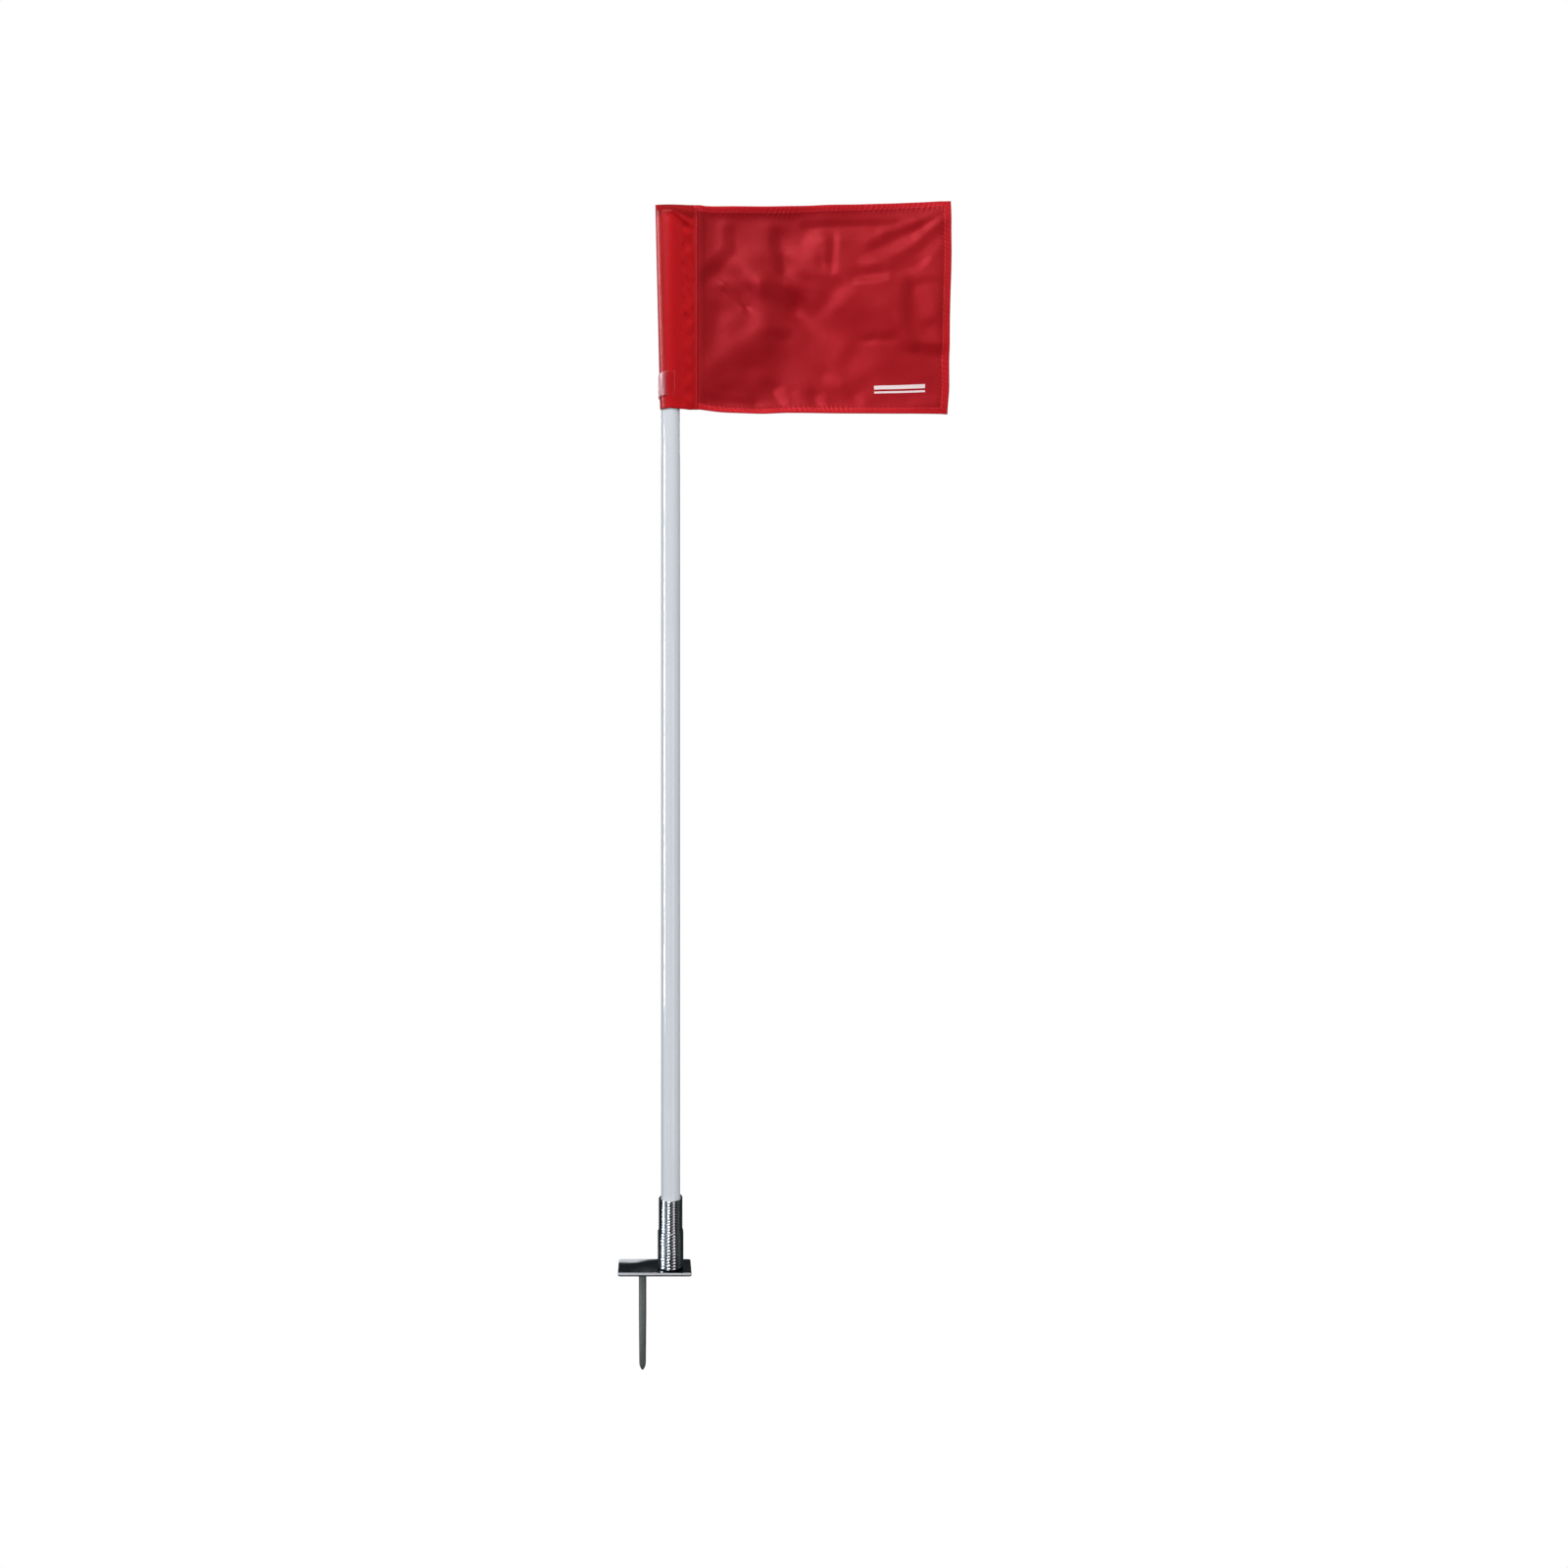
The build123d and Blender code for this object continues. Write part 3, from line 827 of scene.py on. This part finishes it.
def layers_at(x, z):
    """1 in the folded hems, 0 in the single cloth."""
    step = 0.7 * MM
    fly = 1 - smooth(FLY_HEM - step, FLY_HEM, FLY_X - x)
    bottom = 1 - smooth(EDGE_HEM - step, EDGE_HEM, z - bottom_z(x))
    top = 1 - smooth(EDGE_HEM - step, EDGE_HEM, top_z(x) - z)
    return np.maximum(np.maximum(fly, bottom), top)


def painted_cloth_light(x, z):
    """Painted light on the single cloth: how much lighter it is painted, more towards the fly, least in the
    hoist's lower corner.
    """
    u = seam_to_fly(x)
    v = (z - HOIST_BOTTOM) / PANEL_H
    corner = np.exp(-(((u - 0.10) / 0.16) ** 2) - ((v - 0.05) / 0.16) ** 2)
    return 0.06 + 0.17 * smooth(0.25, 0.7, u) - 0.06 * corner


def grid_lines(low, high, spacing, marks):
    """Even lines from low to high, with close lines added round each mark."""
    lines = list(np.linspace(low, high, int(round((high - low) / spacing)) + 1))
    for mark in marks:
        lines = [p for p in lines if abs(p - mark) > 0.8 * MM or p in (low, high)]
        lines += [mark + d * MM for d in (-0.75, -0.5, -0.25, 0, 0.25, 0.5)]
    return np.array(sorted(p for p in lines if low <= p <= high))


def flag_panel():
    """The panel as one closed sheet with thicker hems."""
    spacing = 1.35 * MM
    xs = grid_lines(PANEL_START_X, FLY_X, spacing, [FLY_X - FLY_HEM])
    rows = grid_lines(0, PANEL_H, spacing, [EDGE_HEM, PANEL_H - EDGE_HEM])
    x, row = np.meshgrid(xs, rows)
    low, high = bottom_z(x), top_z(x)
    centre = PANEL_H / 2
    stretch = (high - low - 2 * EDGE_HEM) / (PANEL_H - 2 * EDGE_HEM)
    z = (low + high) / 2 + np.clip(row - centre, EDGE_HEM - centre, centre - EDGE_HEM) * stretch
    z += np.where(row < EDGE_HEM, row - EDGE_HEM, 0)
    z += np.where(row > PANEL_H - EDGE_HEM, row - PANEL_H + EDGE_HEM, 0)
    relief = panel_relief(x, z)
    layers = layers_at(x, z)
    rim = np.minimum(np.minimum(FLY_X - x, z - low), high - z)
    rounded = np.sqrt(np.clip(rim / (0.5 * MM), 0, 1)) * 0.6 + 0.4
    half = (CLOTH_T / 2 + HEM_T * layers) * rounded
    px = x + POLE_X + fly_slant(x, z)
    front = np.stack([px, -relief - half, z], -1).reshape(-1, 3)
    back = np.stack([px, -relief + half, z], -1).reshape(-1, 3)
    panel = mesh_object("flag_cloth_panel", np.vstack([front, back]), sheet_faces(*x.shape), PANEL_CLOTH)
    # The colour's layers value: the folded hems, and painted light on the single cloth.
    layers_and_painted_light = np.maximum(layers, painted_cloth_light(x, z))
    add_point_values(panel, "layers", np.tile(layers_and_painted_light.ravel(), 2))
    add_point_values(panel, "front", np.repeat([1.0, 0.0], x.size))
    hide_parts("flag_panel")
    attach(panel, "flag")
    return panel


def sleeve_section():
    """Points (x, y) round the sleeve's outside, from the seam's front edge round the pole to its back."""
    seam_start = 29 * MM
    lean = math.acos((SLEEVE_R - SEAM_HALF) / seam_start)
    seam = [(x, -SEAM_HALF) for x in np.linspace(SEAM_EDGE_X, seam_start, 9)]
    arc = [(SLEEVE_R * math.cos(a), SLEEVE_R * math.sin(a)) for a in np.linspace(-lean, -math.tau + lean, 56)]
    straight = np.linspace(seam[-1], arc[0], 22)[1:-1]
    front = np.vstack([seam, straight])
    return np.vstack([front, arc, front[::-1] * (1, -1)])


# The sleeve's creases: the points (x, z) that each one runs through, its half width at the start, its height
# and its half width at the end, all in mm
SLEEVE_CREASES = [
    ([(-9, 1387), (10, 1379), (33, 1371)], 3.0, -2.0, 3.5),
    ([(-4, 1394), (14, 1385), (33, 1378)], 2.6, 1.5, 3.0),
    ([(14, 1352), (24, 1343)], 2.2, -0.9, 2.2),
    ([(12, 1330), (22, 1318), (29, 1309)], 2.4, -1.0, 2.4),
    ([(15, 1301), (27, 1287)], 2.2, -1.0, 2.2),
    ([(11, 1288), (20, 1277)], 2.0, -0.8, 2.0),
    ([(16, 1262), (28, 1251)], 2.4, -0.9, 2.4),
    ([(12, 1240), (22, 1228)], 2.2, -0.8, 2.2),
    ([(6, 1198), (8, 1182), (12, 1160)], 3.0, 0.6, 3.0),
    ([(12, 1196), (13, 1172)], 3.0, -0.6, 3.0),
]


def sleeve_relief(x, z, frontness):
    """Small dents and crumples of the sleeve, mostly on its free side between the pole and the seam."""
    total = 0.25 * MM * ripple(x, z, 26 * MM, 21)
    for points, start_w, tall, end_w in SLEEVE_CREASES:
        line = [(a * MM, b * MM) for a, b in points]
        total += fold(x, z, line, start_w * MM, tall * MM, end_w * MM)
    free = smooth(2 * MM, 14 * MM, x)
    near_top = smooth(1360 * MM, 1385 * MM, z)
    crumple = 0.6 * MM * ripple(x * 1.2 + z * 0.6, z * 0.8 - x * 0.5, 8 * MM, 33)
    crumple *= smooth(12 * MM, 20 * MM, x) * (1 - smooth(27 * MM, 32 * MM, x))
    return (total * np.maximum(free, near_top) + crumple) * frontness


def flag_sleeve():
    """Cloth tube round the pole: open at the bottom, pinched flat and sewn shut at the top."""
    section = sleeve_section()
    count = len(section)
    step = np.gradient(section, axis=0)
    out = np.column_stack([-step[:, 1], step[:, 0]])
    out /= np.linalg.norm(out, axis=1)[:, None]
    zs = grid_lines(SLEEVE_BOTTOM, HOIST_TOP, 1.4 * MM, [])
    x, z = np.meshgrid(section[:, 0], zs)
    y = np.tile(section[:, 1], (len(zs), 1))
    bottom = SLEEVE_BOTTOM + SLEEVE_BACK_RISE * ((y + SLEEVE_R) / (2 * SLEEVE_R)) ** 2
    z = z + (bottom - SLEEVE_BOTTOM) * (1 - (z - SLEEVE_BOTTOM) / (HOIST_TOP - SLEEVE_BOTTOM))
    closed = 0.985 * smooth(0, 1, (z - SLEEVE_ROOF) / (HOIST_TOP - SLEEVE_ROOF))
    pinch = np.sqrt(1 - closed)
    slack = SLEEVE_SLACK * ((z - SLEEVE_BOTTOM) / (HOIST_TOP - SLEEVE_BOTTOM))
    x = np.where(x < 0, x * (1 + slack / SLEEVE_R), x)
    frontness = np.where(np.arange(count) < count / 2, 1.0, SLEEVE_BACK_SHARE)
    deepest = -0.3 * MM - 1.7 * MM * smooth(13 * MM, 19 * MM, x)
    relief = np.maximum(sleeve_relief(x, z, frontness), deepest)
    sheets = []
    for inward in (0.0, CLOTH_T):
        px = x + out[:, 0] * (relief - inward)
        py = (y + out[:, 1] * (relief - inward)) * pinch
        flat = np.clip((abs(py) - inward * 0.3), 0, None) * np.sign(y)
        py = np.where(pinch < 0.99, flat, py)
        sheets.append(np.stack([px + POLE_X, py, z], -1).reshape(-1, 3))
    faces = sheet_faces(len(zs), count, flip=True)
    sleeve = mesh_object("flag_cloth_sleeve", np.vstack(sheets), faces, SLEEVE_CLOTH)
    # How bright the sleeve's cloth is: brighter in a band at its top and at its bottom hem, much darker above
    # the pole's top and towards the seam.
    top_band = smooth(HOIST_TOP - 10 * MM, HOIST_TOP - 9 * MM, z)
    bottom_band = 1 - smooth(EDGE_HEM - 1 * MM, EDGE_HEM, z - bottom)
    layers_and_painted_light = 0.85 - 0.85 * smooth(SLEEVE_ROOF - 5 * MM, SLEEVE_ROOF + 1 * MM, z)
    layers_and_painted_light += 0.3 * top_band + 0.1 * bottom_band
    layers_and_painted_light *= 1 - 0.5 * smooth(27 * MM, 30 * MM, x)
    # Painted shade: a narrow upright strip on the sleeve's left side is made darker.
    layers_and_painted_light *= 1 - 0.45 * np.exp(-(((x + 10 * MM) / (5 * MM)) ** 2))
    add_point_values(sleeve, "layers", np.tile(layers_and_painted_light.ravel(), 2))
    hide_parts("flag_sleeve")
    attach(sleeve, "flag")
    return sleeve


def stitches(name, places):
    """Short thread capsules, each a STITCH_LENGTH long and sunk a little in the cloth at its ends. A place is
    its centre, its direction and the side of the cloth it is on, -1 for the front and 1 for the back."""
    verts, faces = [], []
    for centre, along, side in places:
        sink = np.array([0, side * 0.12 * MM, 0])
        shares = np.linspace(-0.5, 0.5, 5)
        line = [centre + along * STITCH_LENGTH * t - sink * (2 * t) ** 2 for t in shares]
        stitch_verts, stitch_faces = tube_mesh(line, THREAD_R, 6, len(verts), up=(0, 1.0, 0))
        verts.extend(stitch_verts)
        faces.extend(stitch_faces)
    return mesh_object(name, verts, faces, THREAD)


def hem_thread():
    """Lines of stitches along the three hems, on both faces."""
    inset = 1.6 * MM
    fly_x = FLY_X - FLY_HEM + inset
    xs = np.arange(SEAM_EDGE_X + 2 * MM, fly_x, STITCH_PITCH)
    zs = np.arange(bottom_z(fly_x) + EDGE_HEM, top_z(fly_x) - EDGE_HEM, STITCH_PITCH)
    lines = [
        (xs, bottom_z(xs) + EDGE_HEM - inset, 1, 0),
        (xs, top_z(xs) - EDGE_HEM + inset, 1, 0),
        (np.full_like(zs, fly_x), zs, 0, 1),
    ]
    places = []
    for x, z, dx, dz in lines:
        half = CLOTH_T / 2 + HEM_T * layers_at(x, z)
        relief = panel_relief(x, z)
        slope = (panel_relief(x + dx * MM, z + dz * MM) - relief) / MM
        px = x + POLE_X + fly_slant(x, z)
        for side in (-1, 1):
            for i in range(len(x)):
                centre = np.array([px[i], -relief[i] + side * (half[i] + 0.02 * MM), z[i]])
                along = np.array([dx, -slope[i], dz])
                places.append((centre, along / np.linalg.norm(along), side))
    thread = stitches("hem_stitches", places)
    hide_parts("hem_thread")
    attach(thread, "flag")
    return thread


def sleeve_thread():
    """The seam's line of stitches, on both faces."""
    zs = np.arange(HOIST_BOTTOM + 1.5 * MM, HOIST_TOP - 2 * MM, STITCH_PITCH)
    relief = sleeve_relief(np.full_like(zs, SEAM_STITCH_X), zs, 1.0)
    up = np.array([0, 0, 1.0])
    places = []
    for side, share in ((-1, 1.0), (1, SLEEVE_BACK_SHARE)):
        for z, dent in zip(zs, relief):
            off = SEAM_HALF + dent * share + 0.05 * MM
            places.append((np.array([SEAM_STITCH_X + POLE_X, side * off, z]), up, side))
    thread = stitches("sleeve_stitches", places)
    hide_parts("sleeve_thread")
    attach(thread, "flag")
    return thread


# ---------------------------------------------------------------- stage, lights and camera

# The camera looks along +Y, level; its focal length and its shift are shares of the sensor's width
CAMERA_PLACE = (0.012, -1.30, 0.6416)
FOCAL_SHARE = 0.6274375
SHIFT_X = 0.0844
FLOOR_SIZE = 30.0


def stage():
    """Pale floor under the spike's tip: white to the eye, soft grey to matt surfaces, dark in reflections."""
    low = SPIKE_LOW.z - 1 * MM
    corners = [(x * FLOOR_SIZE, y * FLOOR_SIZE, low) for x, y in ((-1, -1), (1, -1), (1, 1), (-1, 1))]
    material = bpy.data.materials.new("pale_floor")
    material.use_nodes = True
    tree = Nodes(material.node_tree)
    tree.nodes.clear()
    path = tree.node("ShaderNodeLightPath").outputs
    level = tree.math("MULTIPLY_ADD", path["Is Diffuse Ray"], 0.30, 0.03)
    level = tree.math("MAXIMUM", level, path["Is Camera Ray"])
    glow = tree.made_from("ShaderNodeEmission", ((1, 1, 1), level))
    tree.made_into("ShaderNodeOutputMaterial", glow)
    floor = mesh_object("floor", corners, [(0, 1, 2, 3)], material, False)


def world():
    """White to the camera and through clear plastic; soft light, mostly from the front, on matt surfaces; a
    dark room in reflections."""
    made = bpy.data.worlds.new("studio")
    bpy.context.scene.world = made
    made.use_nodes = True
    tree = Nodes(made.node_tree)
    tree.nodes.clear()
    path = tree.node("ShaderNodeLightPath").outputs
    facing = tree.node("ShaderNodeVectorMath", operation="DOT_PRODUCT")
    tree.put(facing.inputs[0], tree.node("ShaderNodeTexCoord").outputs["Generated"])
    facing.inputs[1].default_value = Vector((0.04, -0.95, 0.30)).normalized()
    towards = facing.outputs["Value"]
    level = tree.math("ADD", tree.ramp(towards, -1, 1, 0.12, 1.46), tree.ramp(towards, -1, -0.5, 1.1, 0))
    white = tree.made_from("ShaderNodeBackground", ((1, 1, 1), 1.0))
    fill = tree.made_from("ShaderNodeBackground", ((0.97, 0.985, 1), level))
    dim = tree.made_from("ShaderNodeBackground", ((0.6, 0.75, 0.85), 0.05))
    matt = tree.made_from("ShaderNodeMixShader", (path["Is Diffuse Ray"], dim, fill))
    seen = tree.math("MAXIMUM", path["Is Camera Ray"], path["Is Transmission Ray"])
    eye = tree.made_from("ShaderNodeMixShader", (seen, matt, white))
    tree.made_into("ShaderNodeOutputWorld", eye)


def area_lamp(name, width, length, glow, colour):
    """Rectangular lamp that the camera doesn't see, at that brightness."""
    data = bpy.data.lights.new(name, "AREA")
    data.shape = "RECTANGLE"
    data.size = width
    data.size_y = length
    data.energy = glow * math.pi * width * length
    data.color = colour
    lamp = bpy.data.objects.new(name, data)
    lamp.visible_camera = False
    bpy.context.scene.collection.objects.link(lamp)
    return lamp


def softbox(name, bearing, lift, distance, width, tall, glow, colour=(1, 1, 1), aim_z=0.64, gloss_only=False):
    """Softbox that faces the pole. Bearing is in degrees to the right of the camera, seen from the pole;
    lift is its height over the place it faces, glow its brightness."""
    a = math.radians(bearing)
    target = Vector((POLE_X, 0, aim_z))
    place = target + Vector((distance * math.sin(a), -distance * math.cos(a), lift))
    lamp = area_lamp(name, width, tall, glow, colour)
    lamp.location = place
    lamp.rotation_euler = (target - place).to_track_quat("-Z", "Y").to_euler()
    lamp.visible_diffuse = not gloss_only


def floor_strip(name, bearing, length, width, glow, colour):
    """Flat lamp on the floor that runs away from the pole, for the undersides of the coils."""
    a = math.radians(bearing)
    lamp = area_lamp(name, width, length, glow, colour)
    away = 0.1 + length / 2
    lamp.location = (POLE_X + away * math.sin(a), -away * math.cos(a), SPIKE_LOW.z + 5 * MM)
    lamp.rotation_euler = (math.pi, 0, a)
    lamp.visible_diffuse = False


def lights():
    """Keys high on the left and behind, and strips that only show as reflections and as the cloth's gloss."""
    softbox("key", -34, 1.7, 2.2, 1.0, 1.0, 8.5, aim_z=1.2)
    softbox("gloss_key", -32, 1.95, 1.6, 0.5, 0.9, 40.0, aim_z=1.25, gloss_only=True)
    softbox("back_key", 176, 1.3, 2.4, 1.2, 1.0, 4.5, aim_z=1.1)
    softbox("left_strip", -80, -0.1, 2.2, 0.11, 2.7, 90.0, (0.9, 0.95, 1), gloss_only=True)
    softbox("sleeve_rim", -102, 1.8, 2.2, 0.8, 0.8, 24.0, gloss_only=True)
    for name, bearing, width, glow, colour in (
        ("blue", -70, 0.36, 1.2, (0.66, 0.81, 1)),
        ("white", -27, 0.06, 2.6, (1, 1, 1)),
        ("pink", 31, 0.16, 2.2, (1, 0.88, 0.92)),
        ("green", 82, 0.36, 0.14, (0.8, 1, 0.86)),
    ):
        softbox(name + "_card", bearing, 0.0, 0.8, width, 1.1, glow, colour, aim_z=0.4, gloss_only=True)
        floor_strip(name + "_floor_card", bearing, 0.9, width * 0.6, glow, colour)


def camera():
    """Level camera in front of the pole, with a shift that brings the flag into the frame."""
    data = bpy.data.cameras.new("camera")
    data.sensor_width = 36.0
    data.lens = FOCAL_SHARE * data.sensor_width
    data.shift_x = SHIFT_X
    data.clip_end = 100
    eye = bpy.data.objects.new("camera", data)
    eye.location = CAMERA_PLACE
    eye.rotation_euler = (math.pi / 2, 0, 0)
    bpy.context.scene.collection.objects.link(eye)
    bpy.context.scene.camera = eye
    bpy.context.scene.view_settings.view_transform = "Standard"
    bpy.context.scene.view_settings.look = "None"


paint("spring_stub", PLATED)
paint("top_cap", MOULDED)
paint("foot_plug", MOULDED)
foot_plate()
ground_spike()
base_spring()
pole_tube()
flag_clip()
PANEL = flag_panel()
SLEEVE = flag_sleeve()
HEM = hem_thread()
SEAM = sleeve_thread()

stage()
world()
lights()
camera()
